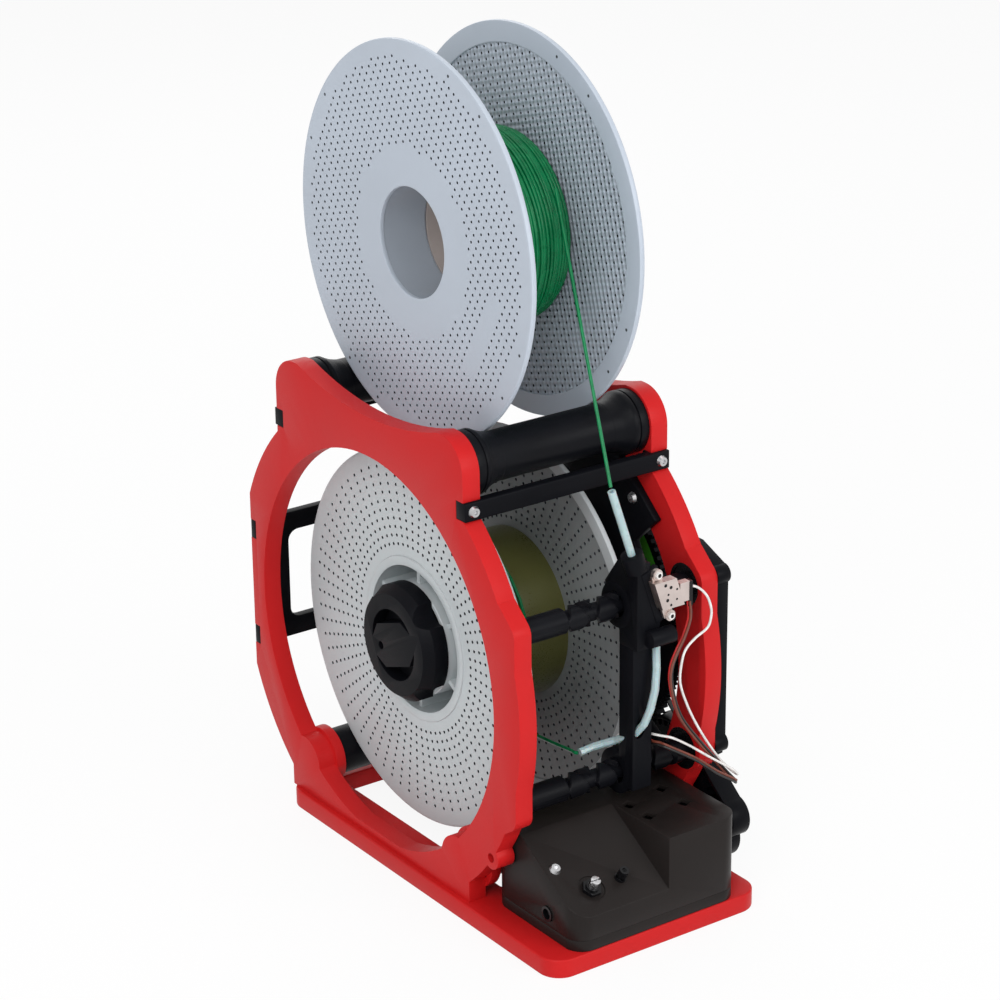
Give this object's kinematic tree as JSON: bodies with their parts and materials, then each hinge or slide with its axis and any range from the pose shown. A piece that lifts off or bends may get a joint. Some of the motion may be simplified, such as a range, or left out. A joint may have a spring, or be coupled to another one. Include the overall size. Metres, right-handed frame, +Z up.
{
  "type": "filament re-spooler",
  "caption": "Desktop filament re-spooler: donor spool on rollers, motor-driven take-up spool, level-wind carriage on crossed-groove screws, sensor and control box.",
  "frame": {"origin": "on the plane of the base plate's underside, straight below the take-up axis and midway between the side panels (this point lies in the base's opening)", "axes": "+Z up, +X along the spool axes towards the drive side, -Y the front with the control box"},
  "size_m": [0.144, 0.275, 0.4276],
  "materials": {
    "red_frame": "satin printed plastic",
    "black_plastic": "satin printed plastic",
    "box_plastic": "glossy printed plastic",
    "grey_spool": "smooth moulded plastic",
    "green_filament": "glossy filament",
    "green_plastic": "printed plastic",
    "steel": "bright steel",
    "bearing_steel": "polished steel",
    "switch_metal": "pressed metal",
    "tube": "translucent tube",
    "cable": "four insulated strands",
    "belt_rubber": "rubber",
    "motor_metal": "plated steel",
    "board": "circuit board",
    "switch_black": "moulded plastic"
  },
  "bodies": {
    "frame": {"base_plate": "red_frame", "left_side_panel": "red_frame", "right_side_panel": "red_frame", "front_cross_bar": "black_plastic", "rear_cross_bar": "black_plastic", "rear_handle": "black_plastic", "front_spacer_tube": "black_plastic", "rear_spacer_tube": "black_plastic", "frame_screws": "steel", "roller_axles": "steel", "roller_bearings": "bearing_steel", "lead_screw_bearings": "bearing_steel", "drive_plate": "black_plastic", "shaft_bearings": "bearing_steel", "gear_cover": "black_plastic", "motor_cover": "black_plastic", "cover_screws": "steel", "gear_pins": "steel", "control_box_tray": "box_plastic", "control_box_lid": "box_plastic", "motor": "motor_metal", "circuit_board": "board", "speed_control": "steel", "direction_switch": "switch_black", "power_socket": "switch_black", "drive_belt": "belt_rubber", "incoming_filament": "green_filament"},
    "front_roller": {"front_roller": "black_plastic"},
    "rear_roller": {"rear_roller": "black_plastic"},
    "donor_spool": {"donor_spool": "grey_spool", "donor_filament": "green_filament"},
    "take_up": {"take_up_shaft": "steel", "take_up_adapter": "black_plastic", "take_up_spool": "grey_spool", "take_up_filament": "green_filament", "ring_gear": "black_plastic", "gear_carrier": "green_plastic", "carrier_screws": "steel", "shaft_nut": "steel"},
    "clamp_knob": {"clamp_knob": "black_plastic"},
    "upper_screw": {"upper_lead_screw": "black_plastic", "upper_pulley": "black_plastic"},
    "lower_screw": {"lower_lead_screw": "black_plastic", "lower_pulley": "black_plastic"},
    "reduction_gear": {"reduction_gear": "black_plastic"},
    "large_idler": {"large_idler": "black_plastic"},
    "small_idler": {"small_idler": "black_plastic"},
    "motor_pinion": {"motor_pinion": "steel"},
    "carriage": {"carriage_column": "black_plastic", "carriage_head": "black_plastic", "follower_pawls": "steel", "sensor_switch": "switch_metal", "sensor_screws": "steel", "inlet_tube": "tube", "outlet_tube": "tube", "sensor_cable": "cable", "outgoing_filament": "green_filament"},
    "sensor_lever": {"sensor_lever": "steel"},
    "speed_knob": {"speed_knob": "steel"},
    "toggle_lever": {"toggle_lever": "black_plastic"}
  },
  "joints": [
    {"name": "donor_spin", "type": "hinge", "parent": "frame", "child": "donor_spool", "pos_m": [0, 0.002, 0.32761], "axis": [1, 0, 0], "continuous": true},
    {"name": "front_roller_spin", "type": "hinge", "parent": "frame", "child": "front_roller", "pos_m": [0, -0.0645, 0.2365], "axis": [1, 0, 0], "continuous": true},
    {"name": "rear_roller_spin", "type": "hinge", "parent": "frame", "child": "rear_roller", "pos_m": [0, 0.0685, 0.2365], "axis": [1, 0, 0], "continuous": true},
    {"name": "take_up_spin", "type": "hinge", "parent": "frame", "child": "take_up", "pos_m": [0, 0, 0.118], "axis": [1, 0, 0], "continuous": true},
    {"name": "clamp_knob_turn", "type": "hinge", "parent": "take_up", "child": "clamp_knob", "pos_m": [0, 0, 0.118], "axis": [1, 0, 0], "range_deg": [0, 360]},
    {"name": "upper_screw_spin", "type": "hinge", "parent": "frame", "child": "upper_screw", "pos_m": [0, -0.109, 0.163], "axis": [1, 0, 0], "continuous": true},
    {"name": "lower_screw_spin", "type": "hinge", "parent": "frame", "child": "lower_screw", "pos_m": [0, -0.109, 0.073], "axis": [1, 0, 0], "continuous": true},
    {"name": "reduction_spin", "type": "hinge", "parent": "frame", "child": "reduction_gear", "pos_m": [0, -0.052, 0.118], "axis": [1, 0, 0], "continuous": true},
    {"name": "large_idler_spin", "type": "hinge", "parent": "frame", "child": "large_idler", "pos_m": [0, -0.08173, 0.04179], "axis": [1, 0, 0], "continuous": true},
    {"name": "small_idler_spin", "type": "hinge", "parent": "frame", "child": "small_idler", "pos_m": [0, -0.11427, 0.02168], "axis": [1, 0, 0], "continuous": true},
    {"name": "motor_spin", "type": "hinge", "parent": "frame", "child": "motor_pinion", "pos_m": [0, -0.124, 0.035], "axis": [1, 0, 0], "continuous": true},
    {"name": "carriage_slide", "type": "slide", "parent": "frame", "child": "carriage", "axis": [1, 0, 0], "range_m": [-0.025, 0.025]},
    {"name": "sensor_lever_turn", "type": "hinge", "parent": "carriage", "child": "sensor_lever", "pos_m": [0.02503, -0.1241, 0.16534], "axis": [0, 1, 0], "range_deg": [-6, 0], "stiffness_Nm_per_rad": 0.002},
    {"name": "speed_knob_turn", "type": "hinge", "parent": "frame", "child": "speed_knob", "pos_m": [-0.0325, -0.145, 0.03607], "axis": [0, -0.5131, 0.8583], "range_deg": [-135, 135]},
    {"name": "toggle_turn", "type": "hinge", "parent": "frame", "child": "toggle_lever", "pos_m": [-0.015, -0.14413, 0.03461], "axis": [1, 0, 0], "range_deg": [-12, 12]}
  ],
  "couplings": [
    {"joint": "front_roller_spin", "follows": "donor_spin", "ratio": -8},
    {"joint": "rear_roller_spin", "follows": "donor_spin", "ratio": -8},
    {"joint": "reduction_spin", "follows": "take_up_spin", "ratio": -0.14286},
    {"joint": "upper_screw_spin", "follows": "take_up_spin", "ratio": -0.1},
    {"joint": "lower_screw_spin", "follows": "take_up_spin", "ratio": -0.1},
    {"joint": "large_idler_spin", "follows": "take_up_spin", "ratio": -2.8205},
    {"joint": "small_idler_spin", "follows": "take_up_spin", "ratio": 9.1667},
    {"joint": "motor_spin", "follows": "take_up_spin", "ratio": -11}
  ]
}
